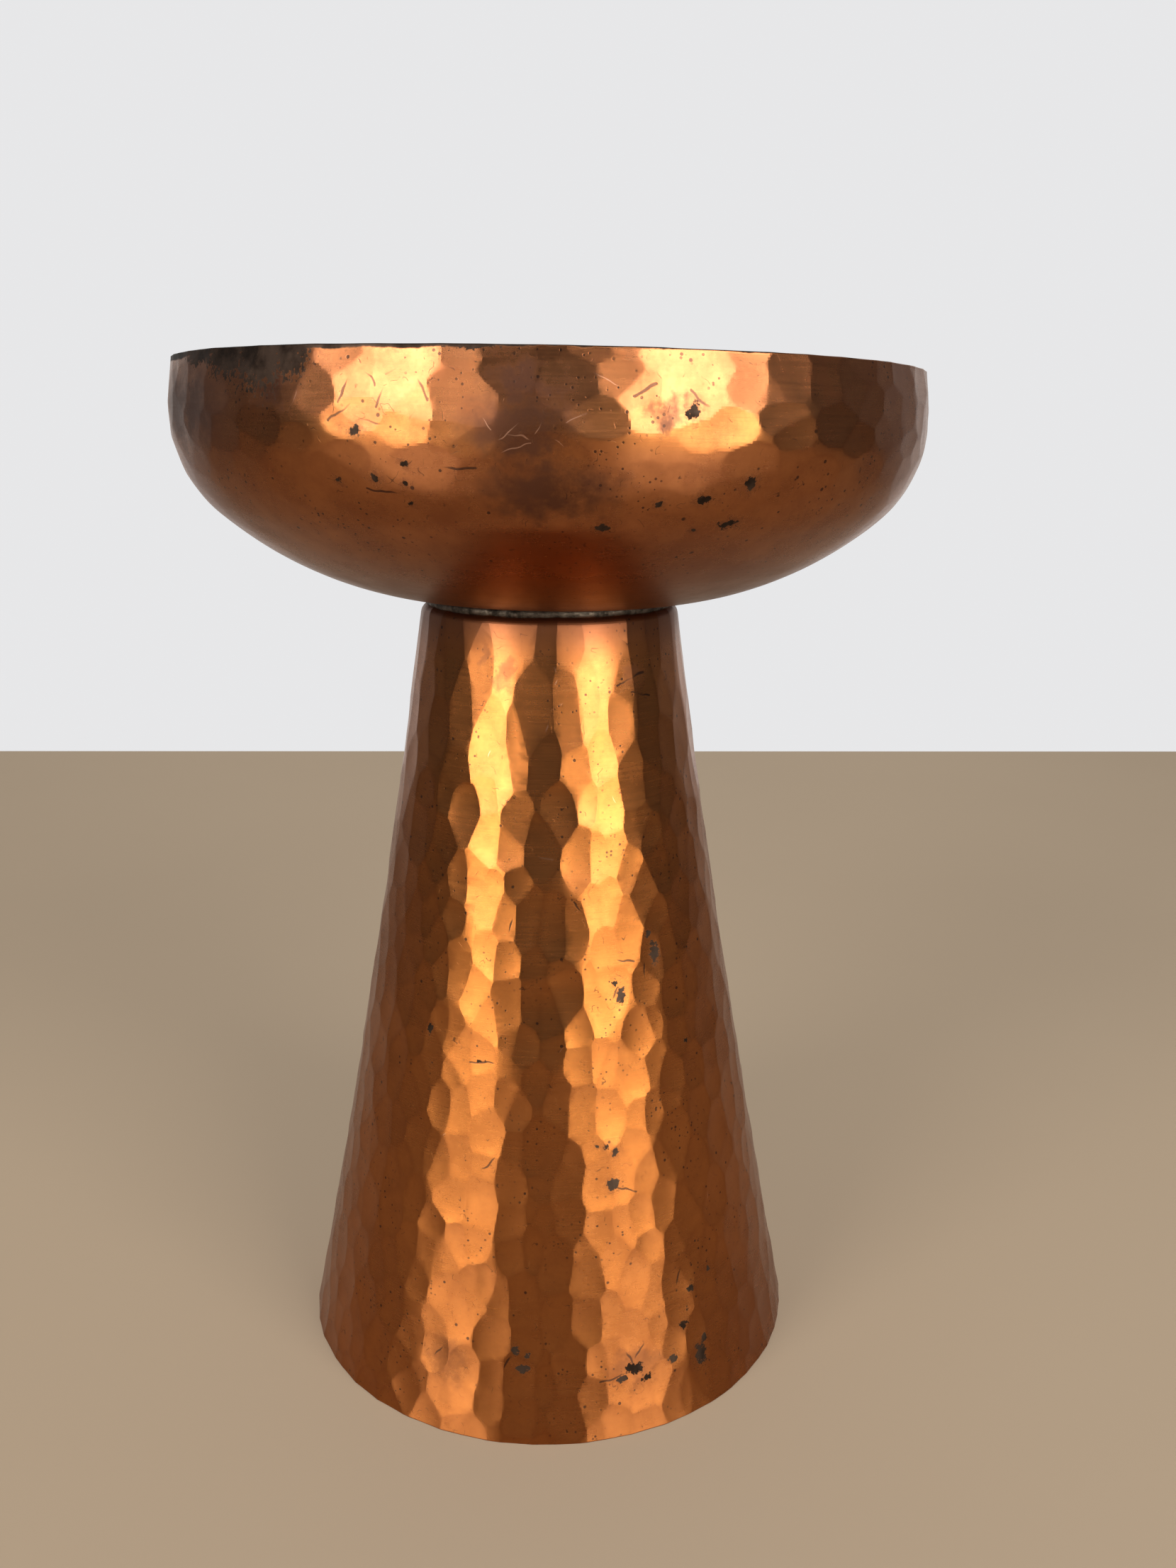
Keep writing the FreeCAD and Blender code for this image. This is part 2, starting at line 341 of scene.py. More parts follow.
# ------------------------------------------------------------------- meshes

LIP_POINTS = 7
LIP_SQUARENESS = 0.55             # 1 makes a round edge, less a squarer one


def lip(start, end, height):
    """The rounded cut edge of the sheet, from the outside wall's end to the inside's."""
    turn = np.linspace(0, pi, LIP_POINTS + 2)[1:-1]
    middle = (start + end) / 2
    half = (start - end) / 2
    bulge = np.sign(np.cos(turn)) * np.abs(np.cos(turn)) ** LIP_SQUARENESS
    rise = np.sin(turn) ** LIP_SQUARENESS
    upwards = rise[:, None] * np.array([0, height])
    return middle[None, :] + bulge[:, None] * half[None, :] + upwards


def turned_shell(name, walls, marks, lip_height, columns, steps, shape_waves):
    """A closed sheet-metal shell: outside, cut edge and inside, with hammer marks."""
    outside, inside = walls
    turn = np.linspace(0, 2 * pi, columns, endpoint=False)
    run_out = np.linspace(0, outside.length, int(outside.length / steps[0]))[1:]
    run_in = np.linspace(0, inside.length, int(inside.length / steps[1]))[:-1]
    ridge_map = marks.ridges()
    rings = []
    ridges = []
    for wall, runs, share in ((outside, run_out, 1.0), (inside, run_in, -INSIDE_SHARE)):
        radius, level, across, up = wall.at(runs)
        marked_run = runs if share > 0 else (1 - runs / inside.length) * outside.length
        grid_run, grid_turn = np.meshgrid(marked_run, turn, indexing="ij")
        pressed = marks.at(marks.depth, grid_run, grid_turn)
        push = (pressed + shape_waves(grid_run, grid_turn)) * share
        ridges.append(marks.at(ridge_map, grid_run, grid_turn) * abs(share))
        rings.append(np.stack([radius[:, None] + across[:, None] * push,
                               level[:, None] + up[:, None] * push], axis=2))
    edge = [lip(rings[0][-1, c], rings[1][0, c], lip_height) for c in range(columns)]
    rings = np.concatenate([rings[0], np.stack(edge, axis=1), rings[1]])
    ridges = np.concatenate([ridges[0], np.zeros((len(edge[0]), columns)), ridges[1]])

    # Azimuth 0 faces the viewer, and turns towards the viewer's right.
    x = rings[:, :, 0] * np.sin(turn)
    y = -rings[:, :, 0] * np.cos(turn)
    points = np.stack([x, y, rings[:, :, 1]], axis=2).reshape(-1, 3)
    poles = np.array([[0, 0, outside.at(0)[1]], [0, 0, inside.at(inside.length)[1]]])
    mesh = close_rings(name, points, len(rings), columns, poles)
    # The ridge mask is kept on the mesh for the painted shade along the ridges between marks.
    values = np.concatenate([ridges.ravel(), [0, 0]])
    mesh.attributes.new("ridge_shade", "FLOAT", "POINT").data.foreach_set("value", values)
    return mesh


def close_rings(name, points, ring_count, columns, poles):
    """A mesh of quads between rings of points, closed by a fan at each pole."""
    ring = np.arange(ring_count - 1)[:, None] * columns
    here = np.arange(columns)[None, :]
    after = (here + 1) % columns
    quads = np.stack([ring + here, ring + after, ring + columns + after,
                      ring + columns + here], axis=2).reshape(-1, 4)
    first_pole = len(points)
    last = (ring_count - 1) * columns
    here, after = here[0], after[0]
    fans = np.concatenate([
        np.stack([np.full(columns, first_pole), after, here], axis=1),
        np.stack([last + here, last + after, np.full(columns, first_pole + 1)], axis=1),
    ])
    mesh = bpy.data.meshes.new(name)
    vertices = np.concatenate([points, poles]) * MM
    mesh.vertices.add(len(vertices))
    mesh.vertices.foreach_set("co", vertices.ravel())
    corners = np.concatenate([quads.ravel(), fans.ravel()])
    mesh.loops.add(len(corners))
    mesh.loops.foreach_set("vertex_index", corners)
    starts = np.concatenate([np.arange(len(quads)) * 4,
                             len(quads) * 4 + np.arange(len(fans)) * 3])
    mesh.polygons.add(len(starts))
    mesh.polygons.foreach_set("loop_start", starts)
    mesh.update(calc_edges=True)
    mesh.validate()
    return mesh


def place(name, mesh):
    thing = bpy.data.objects.new(name, mesh)
    bpy.context.scene.collection.objects.link(thing)
    return thing


def thin_out(thing, triangles):
    """Fewer faces where the surface is flat, so that ridges keep the rest."""
    mesh = thing.data
    mesh.calc_loop_triangles()
    now = len(mesh.loop_triangles)
    if now > triangles:
        thin = thing.modifiers.new("thin", "DECIMATE")
        thin.ratio = triangles / now
        graph = bpy.context.evaluated_depsgraph_get()
        thinned = bpy.data.meshes.new_from_object(thing.evaluated_get(graph))
        thing.modifiers.clear()
        thing.data = thinned
        thinned.name = thing.name
        bpy.data.meshes.remove(mesh)
    thing.data.shade_smooth()
    thing.data.set_sharp_from_angle(angle=radians(SHARP_DEGREES))


# ----------------------------------------------------------------- materials

class Nodes:
    """A material's node tree, built one node at a time."""

    def __init__(self, name):
        self.material = bpy.data.materials.new(name)
        self.material.use_nodes = True
        self.tree = self.material.node_tree
        self.tree.nodes.clear()
        where = self.add("ShaderNodeTexCoord")
        self.place, self.normal = where.outputs["Object"], where.outputs["Normal"]

    def add(self, kind, inputs=(), **settings):
        node = self.tree.nodes.new(kind)
        for key, value in settings.items():
            setattr(node, key, value)
        for key, value in dict(inputs).items():
            self.feed(node.inputs[key], value)
        return node

    def feed(self, socket, value):
        if isinstance(value, bpy.types.NodeSocket):
            self.tree.links.new(value, socket)
        elif value is not None:
            socket.default_value = value

    def math(self, operation, a, b=None, c=None, clamp=False):
        node = self.add("ShaderNodeMath", {0: a, 1: b, 2: c}, operation=operation)
        node.use_clamp = clamp
        return node.outputs[0]

    def vector(self, operation, a, b=None, c=None):
        node = self.add("ShaderNodeVectorMath", {0: a, 1: b, 2: c}, operation=operation)
        single = operation in ("LENGTH", "DISTANCE", "DOT_PRODUCT")
        return node.outputs["Value" if single else "Vector"]

    def scale(self, vector, factor):
        inputs = {0: vector, "Scale": factor}
        return self.add("ShaderNodeVectorMath", inputs, operation="SCALE").outputs[0]

    def noise(self, scale, detail=3.0, rough=0.55, at=None, color=False):
        inputs = {"Vector": at or self.place, "Scale": scale, "Detail": detail,
                  "Roughness": rough}
        return self.add("ShaderNodeTexNoise", inputs).outputs[1 if color else 0]

    def step(self, value, low, high, start=0.0, end=1.0):
        """start below low, end above high, and a smooth change between."""
        inputs = {"Value": value, "From Min": low, "From Max": high,
                  "To Min": start, "To Max": end}
        node = self.add("ShaderNodeMapRange", inputs, interpolation_type="SMOOTHSTEP")
        return node.outputs[0]

    def mix(self, factor, a, b):
        node = self.add("ShaderNodeMix", data_type="RGBA")
        self.feed(node.inputs["Factor"], factor)
        self.feed(node.inputs[6], a)
        self.feed(node.inputs[7], b)
        return node.outputs[2]

    def finish(self, shader):
        output = self.add("ShaderNodeOutputMaterial")
        self.tree.links.new(shader.outputs[0], output.inputs["Surface"])
        return self.material


def on_wall(azimuth, level, walls):
    """The place on a wall's outside at an angle from the viewer and a height."""
    outside = walls[0]
    order = np.argsort(outside.points[:, 1])
    radius = float(np.interp(level, outside.points[order, 1], outside.points[order, 0]))
    angle = radians(azimuth)
    return radius * sin(angle) * MM, -radius * cos(angle) * MM, level * MM


def patch_reach(nodes, stains, walls, wobble):
    """0 in the middle of the nearest patch and 1 at its edge, on a wobbled place.

    Patches are stains, hazes and painted dark reflections. A patch: azimuth from the viewer in
    degrees, level, half width, half height.
    """
    shift = nodes.vector("MULTIPLY_ADD", nodes.noise(330, 3, 0.6, color=True),
                         (wobble * MM,) * 3, (-wobble / 2 * MM,) * 3)
    place = nodes.vector("ADD", nodes.place, shift)
    nearest = None
    for azimuth, level, half_wide, half_tall in stains:
        x, y, z = on_wall(azimuth, level, walls)
        across, up = 1 / (half_wide * MM), 1 / (half_tall * MM)
        offset = nodes.vector("MULTIPLY_ADD", place, (across, across, up),
                              (-x * across, -y * across, -z * up))
        reach = nodes.vector("LENGTH", offset)
        nearest = reach if nearest is None else nodes.math("MINIMUM", nearest, reach)
    return nearest


USUAL_DEPTH = 0.2                 # of the hammer marks
SCRATCH_WOBBLE = 3.0
SCRATCH_FADE = 2.2                # a scratch fades out at this many half widths


def scratch_mask(nodes, scratches, walls, half_width):
    """1 on each scratch. A scratch: azimuth and level of its middle, slant, length.

    The slant is in degrees up from the way round the piece. The place is wobbled within
    the surface, so that the scratches curve, and lifted by what the blows pressed it in.
    """
    shift = nodes.vector("MULTIPLY_ADD", nodes.noise(170, 2, 0.5, color=True),
                         (SCRATCH_WOBBLE * MM,) * 3, (-SCRATCH_WOBBLE / 2 * MM,) * 3)
    lift = nodes.math("SUBTRACT", USUAL_DEPTH * MM,
                      nodes.vector("DOT_PRODUCT", shift, nodes.normal))
    shift = nodes.vector("ADD", shift, nodes.scale(nodes.normal, lift))
    place = nodes.vector("ADD", nodes.place, shift)
    nearest = None
    for azimuth, level, slant, length in scratches:
        middle = on_wall(azimuth, level, walls)
        turn, rise = radians(azimuth), radians(slant)
        along = (cos(turn) * cos(rise), sin(turn) * cos(rise), sin(rise))
        offset = nodes.vector("SUBTRACT", place, middle)
        dot = nodes.vector("DOT_PRODUCT", offset, along)
        half = length / 2 * MM
        dot = nodes.math("MAXIMUM", nodes.math("MINIMUM", dot, half), -half)
        away = nodes.vector("DISTANCE", offset, nodes.scale(along, dot))
        nearest = away if nearest is None else nodes.math("MINIMUM", nearest, away)
    return nodes.step(nearest, half_width * MM, half_width * SCRATCH_FADE * MM, 1.0, 0.0)


def specks(nodes, scale, chance, largest):
    """Round dots: one in some of the cells of a grid, each of its own size."""
    cells = nodes.add("ShaderNodeTexVoronoi", {"Vector": nodes.place, "Scale": scale})
    pick = nodes.add("ShaderNodeSeparateColor", {"Color": cells.outputs["Color"]})
    size = nodes.step(pick.outputs[0], 1 - chance, 1.0, 0.0, largest)
    inside = nodes.math("SUBTRACT", size, cells.outputs["Distance"])
    return nodes.step(inside, -0.02, 0.03)


DOT_DARK = (0.055, 0.028, 0.02, 1)
SCRATCH_PALE = (0.75, 0.42, 0.30, 1)
OXIDE_DARK = (0.018, 0.011, 0.008, 1)
OXIDE_PALE = (0.06, 0.038, 0.028, 1)


def copper(name, walls, look):
    """Planished copper: patchy tarnish, specks, stains, scratches and polish lines.

    It is darker round the joint between bowl and foot: painted shade.
    """
    nodes = Nodes(name)
    broad = nodes.noise(30, 4, 0.6)
    middle = nodes.noise(170, 4, 0.6)
    fine = nodes.noise(1300, 3, 0.65)
    patchy = nodes.math("MULTIPLY_ADD", middle, 0.45, nodes.math("MULTIPLY", broad, 0.65))
    patchy = nodes.math("MULTIPLY_ADD", fine, 0.15, patchy)
    tarnish = nodes.math("MULTIPLY", nodes.step(patchy, 0.42, 0.84), look["tarnish"])
    ridge_shade = nodes.add("ShaderNodeAttribute", attribute_name="ridge_shade").outputs["Fac"]

    # Polish lines run round the piece, so the pattern is squeezed in height.
    squeezed = nodes.vector("MULTIPLY", nodes.place, (90, 90, 2600))
    lines = nodes.noise(1.0, 3, 0.6, at=squeezed)

    speckled = nodes.step(nodes.noise(75, 3, 0.6), 0.46, 0.62)
    dots = nodes.math("MULTIPLY", specks(nodes, 1150, 0.60, 0.30), speckled)
    dots = nodes.math("MAXIMUM", dots, specks(nodes, 420, 0.40, 0.15))

    # Hairs: short curly lines where a slow pattern lets them show.
    curl = nodes.math("ABSOLUTE", nodes.math("SUBTRACT", nodes.noise(210, 2, 0.5), 0.5))
    hair = nodes.step(curl, 0.002, 0.006, 1.0, 0.0)
    hair = nodes.math("MULTIPLY", hair, nodes.step(nodes.noise(520, 1, 0.5), 0.58, 0.64))
    dark_lines = scratch_mask(nodes, look["scratches"], walls, 0.13)
    pale_lines = scratch_mask(nodes, look["pale_scratches"], walls, 0.06)

    reach = patch_reach(nodes, look["stains"], walls, 2.2)
    crumbled = nodes.math("MULTIPLY_ADD", fine, 1.9, nodes.math("SUBTRACT", reach, 0.95))
    stained = nodes.step(crumbled, 0.68, 0.86, 1.0, 0.0)
    halo = nodes.step(reach, 0.7, 2.3, 0.5, 0.0)
    halo = nodes.math("MULTIPLY", halo, nodes.step(fine, 0.3, 0.7))
    # Hazes, some of which are a painted dark reflection, and a faint haze round the stains.
    haze_and_shade = nodes.step(patch_reach(nodes, look["hazes_and_painted_reflection"], walls, 9), 0.30, 1.1, 1.0, 0.0)
    haze_and_shade = nodes.math("MULTIPLY", haze_and_shade, nodes.step(patchy, 0.38, 0.66))
    haze_and_shade = nodes.math("MULTIPLY", nodes.math("MAXIMUM", haze_and_shade, halo), look["haze_and_reflection_share"])
    crust = nodes.math("MULTIPLY_ADD", middle, 1.6 * MM, look["crust_level"] * MM)
    level = nodes.add("ShaderNodeSeparateXYZ", {"Vector": nodes.place}).outputs[2]
    above = nodes.math("SUBTRACT", level, crust)
    stained = nodes.math("MAXIMUM", stained, nodes.step(above, 0, 0.35 * MM))
    # Painted shade round the joint: darker near the joint's level, on the bowl's underside and
    # on the foot's top.
    from_joint = nodes.math("ABSOLUTE", nodes.math("SUBTRACT", level, FOOT_TALL * MM))
    joint_shade = nodes.step(nodes.math("MULTIPLY_ADD", middle, 4 * MM, from_joint),
                          2.5 * MM, look["joint_shade_reach"] * MM, 0.75, 0.0)
    haze_and_shade = nodes.math("MAXIMUM", haze_and_shade, joint_shade)

    color = nodes.mix(tarnish, look["bright"], look["brown"])
    # Painted shade: the ridges between hammer marks are darkened towards brown.
    color = nodes.mix(nodes.math("MULTIPLY", ridge_shade, 0.55), color, look["brown"])
    # The haze colour also paints the shade round the joint and the dark reflection.
    color = nodes.mix(haze_and_shade, color, look["haze_and_shade"])
    color = nodes.mix(nodes.math("MULTIPLY", pale_lines, 0.32), color, SCRATCH_PALE)
    dark = nodes.math("MAXIMUM", dots, nodes.math("MULTIPLY", hair, 0.8))
    dark = nodes.math("MULTIPLY", nodes.math("MAXIMUM", dark, dark_lines), 0.85)
    color = nodes.mix(dark, color, DOT_DARK)
    oxide = nodes.mix(nodes.step(middle, 0.35, 0.65), OXIDE_DARK, OXIDE_PALE)
    color = nodes.mix(stained, color, oxide)

    rough = nodes.math("MULTIPLY_ADD", tarnish, 0.12, look["rough"])
    rough = nodes.math("MULTIPLY_ADD", lines, 0.08, rough)
    rough = nodes.math("MULTIPLY_ADD", haze_and_shade, 0.14, rough)
    rough = nodes.math("MULTIPLY_ADD", stained, 0.25, rough, clamp=True)

    height = nodes.math("MULTIPLY_ADD", lines, 0.3, nodes.math("MULTIPLY", fine, 0.08))
    height = nodes.math("MULTIPLY_ADD", middle, 0.25, height)
    height = nodes.math("SUBTRACT", height, nodes.math("MULTIPLY", dark, 0.4))
    bump = nodes.add("ShaderNodeBump", {"Height": height, "Distance": look["relief"] * MM,
                                        "Strength": 1.0})
    shader = nodes.add("ShaderNodeBsdfPrincipled", {
        "Base Color": color, "Metallic": 1.0, "Roughness": rough,
        "Normal": bump.outputs[0]})
    return nodes.finish(shader)


def solder_metal(name):
    """Dull grey lumpy solder, with painted shade in its hollows."""
    nodes = Nodes(name)
    lumps = nodes.noise(420, 4, 0.65)
    fine = nodes.noise(1900, 3, 0.6)
    # Painted shade: the colour is darkest where the lumps that make the bump sink.
    tone = nodes.step(nodes.math("MULTIPLY_ADD", fine, 0.3, lumps), 0.45, 0.85)
    color = nodes.mix(tone, (0.012, 0.008, 0.006, 1), (0.11, 0.085, 0.072, 1))
    rough = nodes.math("MULTIPLY_ADD", tone, -0.2, 0.62)
    bump = nodes.add("ShaderNodeBump", {"Height": lumps, "Distance": 0.25 * MM,
                                        "Strength": 1.0})
    shader = nodes.add("ShaderNodeBsdfPrincipled", {
        "Base Color": color, "Metallic": 0.8, "Roughness": rough,
        "Normal": bump.outputs[0]})
    return nodes.finish(shader)


def pale_floor():
    """Matte, warm and pale, and no darker where the lights don't reach."""
    nodes = Nodes("pale_floor")
    shade = nodes.mix(nodes.noise(6, 2), (0.22, 0.160, 0.105, 1), (0.24, 0.178, 0.118, 1))
    shader = nodes.add("ShaderNodeBsdfPrincipled", {
        "Base Color": shade, "Roughness": 0.9, "Specular IOR Level": 0.1,
        "Emission Color": (0.62, 0.50, 0.37, 1), "Emission Strength": 0.28})
    return nodes.finish(shader)


def reflected_floor():
    """Satin, so that the copper near the base sees the windows in it."""
    nodes = Nodes("reflected_floor")
    shade = nodes.mix(nodes.noise(6, 2), (0.33, 0.24, 0.155, 1), (0.36, 0.265, 0.175, 1))
    shader = nodes.add("ShaderNodeBsdfPrincipled", {
        "Base Color": shade, "Roughness": 0.28, "Specular IOR Level": 1.0})
    return nodes.finish(shader)


def reflected_wall():
    """A pale wall right behind the object and a dim room on either side."""
    nodes = Nodes("reflected_wall")
    place = nodes.add("ShaderNodeSeparateXYZ", {"Vector": nodes.place})
    aside = nodes.math("ABSOLUTE", place.outputs[0])
    shader = nodes.add("ShaderNodeBsdfPrincipled", {
        "Base Color": (0.15, 0.148, 0.145, 1), "Roughness": 1.0, "Specular IOR Level": 0.0,
        "Emission Color": (1.0, 0.985, 0.97, 1),
        "Emission Strength": nodes.step(aside, 0.22, 0.70, 0.55, 0.15)})
    return nodes.finish(shader)


# -------------------------------------------------------------------- pieces

def tip_bowl(thing, degrees, towards):
    """The bowl was soldered on slightly tipped, about the middle of the joint."""
    axis = Vector((cos(radians(towards)), sin(radians(towards)), 0))
    pivot = Matrix.Translation((0, 0, BOWL_BOTTOM * MM))
    tip = Matrix.Rotation(radians(degrees), 4, axis)
    thing.data.transform(pivot @ tip @ pivot.inverted())


def make_bowl():
    rng = np.random.default_rng(BOWL_MARKS_SEED)
    walls = bowl_walls()
    marks = HammerMarks(walls[0], BOWL_MARK_COLUMNS, MARK_STEP)
    plan_bowl(marks, rng)
    uneven_rng = np.random.default_rng(BOWL_UNEVEN_SEED)
    phase = uneven_rng.uniform(0, 2 * pi, 4)

    def uneven(run, turn):
        rise = np.clip((run - 50) / 50, 0, 1)
        swing = 0.10 * np.sin(3 * turn + phase[0]) + 0.08 * np.sin(5 * turn + phase[1])
        swing = swing + 0.05 * np.sin(9 * turn + phase[2] + run * 0.04)
        return rise * swing

    mesh = turned_shell("bowl_hammered", walls, marks, RIM_ROUND, BOWL_COLUMNS, BOWL_STEPS,
                        uneven)
    thing = place("bowl_hammered", mesh)
    thin_out(thing, MOST_TRIANGLES)
    tip_bowl(thing, degrees=0.6, towards=90)
    thing.data.materials.append(copper("bowl_copper", walls, BOWL_LOOK))
    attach(thing, "root")
    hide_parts("bowl")


def make_foot():
    rng = np.random.default_rng(FOOT_MARKS_SEED)
    walls = foot_walls()
    marks = HammerMarks(walls[0], FOOT_MARK_COLUMNS, MARK_STEP)
    plan_foot(marks, rng)
    uneven_rng = np.random.default_rng(FOOT_UNEVEN_SEED)
    phase = uneven_rng.uniform(0, 2 * pi, 4)

    def uneven(run, turn):
        fade = np.clip((run - 22) / 12, 0, 1)
        fade = fade * np.clip((walls[0].length - run) / 12, 0.3, 1)
        swing = 0.10 * np.sin(3 * turn + phase[0] + run * 0.03)
        swing = swing + 0.07 * np.sin(5 * turn + phase[1] - run * 0.05)
        swing = swing + 0.05 * np.sin(8 * turn + phase[2] + run * 0.09)
        return fade * swing

    mesh = turned_shell("foot_hammered", walls, marks, -BASE_ROUND, FOOT_COLUMNS, FOOT_STEPS,
                        uneven)
    thing = place("foot_hammered", mesh)
    thin_out(thing, MOST_TRIANGLES)
    thing.data.materials.append(copper("foot_copper", walls, FOOT_LOOK))
    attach(thing, "root")
    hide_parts("conical_foot")


BEAD_POINTS = (420, 18)           # round the joint, round the bead
BEAD_RING_RADIUS = 25.35
BEAD_HALF_WIDE = 0.75
BEAD_HALF_TALL = 0.95
BEAD_ABOVE_FOOT = 0.15
BEAD_LOBES = (7, 11, 17, 26, 41, 63)


def make_bead():
    """The lumpy solder bead round the joint."""
    rng = np.random.default_rng(BEAD_SEED)
    around, across = BEAD_POINTS
    turn = np.linspace(0, 2 * pi, around, endpoint=False)[:, None]
    girth = np.linspace(0, 2 * pi, across, endpoint=False)[None, :]
    lump = np.zeros_like(turn)
    for lobes in BEAD_LOBES:
        lump = lump + np.sin(lobes * turn + rng.uniform(0, 2 * pi)) * rng.uniform(0.02, 0.06)
    radius = BEAD_RING_RADIUS + (BEAD_HALF_WIDE + 0.5 * lump) * np.cos(girth)
    level = FOOT_TALL + BEAD_ABOVE_FOOT + (BEAD_HALF_TALL + lump) * np.sin(girth)
    points = np.stack([radius * np.sin(turn), -radius * np.cos(turn), level], axis=2)
    ring = np.arange(around)[:, None]
    next_ring = (ring + 1) % around
    side = np.arange(across)[None, :]
    next_side = (side + 1) % across
    faces = np.stack([ring * across + side, next_ring * across + side,
                      next_ring * across + next_side, ring * across + next_side], axis=2)
    mesh = bpy.data.meshes.new("solder_bead")
    mesh.from_pydata((points.reshape(-1, 3) * MM).tolist(), [], faces.reshape(-1, 4).tolist())
    mesh.shade_smooth()
    thing = place("solder_bead", mesh)
    mesh.materials.append(solder_metal("solder"))
    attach(thing, "root")
    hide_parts("solder_joint")


# patch_reach says what is in each row of stains and hazes, and scratch_mask what is in
# each row of scratches. Lengths are millimetres.
BOWL_LOOK = {
    "bright": (0.42, 0.160, 0.060, 1),
    "brown": (0.21, 0.066, 0.027, 1),
    # The colour of the hazes, of the painted dark reflection and of the painted shade round
    # the joint.
    "haze_and_shade": (0.10, 0.042, 0.027, 1),
    "haze_and_reflection_share": 0.9,
    # How far the painted shade round the joint reaches up the underside.
    "joint_shade_reach": 17,
    "tarnish": 0.75,
    "rough": 0.17,
    "relief": 0.02,
    "crust_level": RIM_LEVEL - 1.6,
    "stains": (
        (-39, 211, 9, 8), (-33.5, 211, 5, 6), (-46, 211, 8, 5), (-54, 211.4, 8, 2.6),
        (-9, 211.6, 5, 1.4), (-19, 211.6, 1.6, 0.8), (17, 201.8, 1.3, 1.5),
        (26, 191, 1.5, 1.5), (14, 188, 0.9, 0.8), (20, 188.5, 1.8, 1.1),
        (25, 184.5, 2.2, 0.9), (7, 184, 1.1, 1.1), (20, 183.6, 0.7, 0.7),
        (-18, 193.7, 0.8, 0.6), (-18, 190.5, 0.6, 0.6), (-18, 187.5, 0.7, 0.6),
        (-27.5, 191, 0.7, 0.8), (-22, 191, 0.7, 1.0), (-24, 198.8, 1.6, 1.0),
    ),
    "hazes_and_painted_reflection": (
        # The three facing the viewer are a painted dark reflection; the rest are tarnish and
        # oxide.
        (-3, 199, 13, 7), (-2, 206, 9, 4), (0, 190, 14, 6), (13.8, 201.6, 4.2, 3.6),
        (13, 202.5, 2.2, 1.8), (-60, 203, 22, 9), (-36, 205, 9, 4),
    ),
    "scratches": (
        (-25, 206, 60, 6), (-22.5, 207.5, -50, 5), (-20, 205.5, 75, 6), (-18, 208, 20, 4.5),
        (-15.5, 206, -65, 6), (-26, 201.5, 35, 5), (-22, 200.5, -25, 6), (-17, 200, 50, 4.5),
        (-13, 203, -80, 5), (11, 205, 30, 4), (18, 204, -40, 4), (-12, 193, 5, 7),
        (-21, 189.5, -8, 8),
    ),
    "pale_scratches": (
        (-5, 198.5, 35, 4), (-3, 197.6, -20, 5), (-1.5, 199.4, 60, 3.5), (-4, 196.4, 10, 5),
        (1, 196.8, -45, 3.5), (-7, 200.5, -60, 3), (3, 200.8, 20, 3), (6, 207, -30, 6),
        (-33, 203, 70, 4), (30, 207, 15, 6),
    ),
}
FOOT_LOOK = {
    "bright": (0.43, 0.150, 0.043, 1),
    "brown": (0.23, 0.070, 0.021, 1),
    # The colour of the hazes and of the painted shade round the joint.
    "haze_and_shade": (0.11, 0.042, 0.026, 1),
    "haze_and_reflection_share": 0.5,
    # How far the painted shade round the joint reaches down the foot.
    "joint_shade_reach": 13,
    "tarnish": 0.65,
    "rough": 0.18,
    "relief": 0.02,
    "crust_level": FOOT_TALL + 5,         # above the foot, so that it has no crust
    "stains": (
        (35, 97, 1.6, 3.4), (33, 101, 0.9, 0.9), (22, 90, 1.3, 2.2), (20, 92.5, 0.8, 0.9),
        (-37.5, 81, 0.9, 1.6), (-36.5, 74, 0.6, 0.9), (44, 77, 0.7, 0.9), (15, 60, 0.9, 0.9),
        (17.5, 58.5, 0.9, 0.9), (12.5, 60.5, 0.6, 0.6), (16.5, 52, 1.6, 1.5),
        (37, 11.5, 1.7, 3.2), (38.5, 14.5, 0.9, 1.2), (36, 26, 1.0, 1.1), (33, 19, 1.1, 1.3),
        (34.5, 22, 0.7, 0.8), (29, 13, 1.3, 1.0), (42.5, 28, 0.8, 0.9), (-8, 19, 1.1, 1.3),
        (-6, 15.5, 1.7, 1.1), (-5, 18, 0.7, 0.7), (19, 13.5, 2.6, 1.4), (16, 11.5, 1.2, 0.8),
        (22, 11, 1.2, 0.9), (-20, 77, 1.3, 0.4),
    ),
    "hazes_and_painted_reflection": (
        (-27, 157, 2.5, 4), (-18, 154, 3, 5), (35, 152, 4, 3), (-24, 14, 7, 6), (20, 14, 8, 5),
    ),
    "scratches": (
        (19, 51, -25, 7), (17.5, 16, -62, 9), (21, 17, 40, 5), (14, 12.5, 8, 6),
        (-20, 77, 3, 5), (-17, 56, 55, 9), (21, 91, 70, 5), (24, 97, -20, 4),
        (10, 108, -50, 4), (-13, 104, 75, 6), (34, 152, 12, 7), (38, 149, -15, 5),
        (-26, 16, 60, 5), (-9, 17, 70, 6), (31, 95, 80, 7), (33, 30, 60, 7),
    ),
    "pale_scratches": (
        (2, 151, 65, 7), (1, 147, 40, 4), (4, 153, -60, 5), (-1, 143, 80, 4),
        (-22, 139, 75, 9), (24, 128, -65, 7), (-31, 60, 50, 8), (2, 79, 60, 5),
        (-3, 118, -20, 5), (46, 44, 70, 8),
    ),
}
make_foot()
make_bead()
make_bowl()


# --------------------------------------------------------- floor, light, camera

# Lengths in this section are metres. The camera sees a matte floor that ends in front of
# a pale world. The copper sees a satin floor and a wall instead, which are left out of
# what the camera sees.
WALL_BEHIND = 0.56
FLOOR_AHEAD = -4.0
HALF_WIDE = 5.0
WALL_TALL = 3.5
REFLECTED_FLOOR_LEVEL = -0.2 * MM

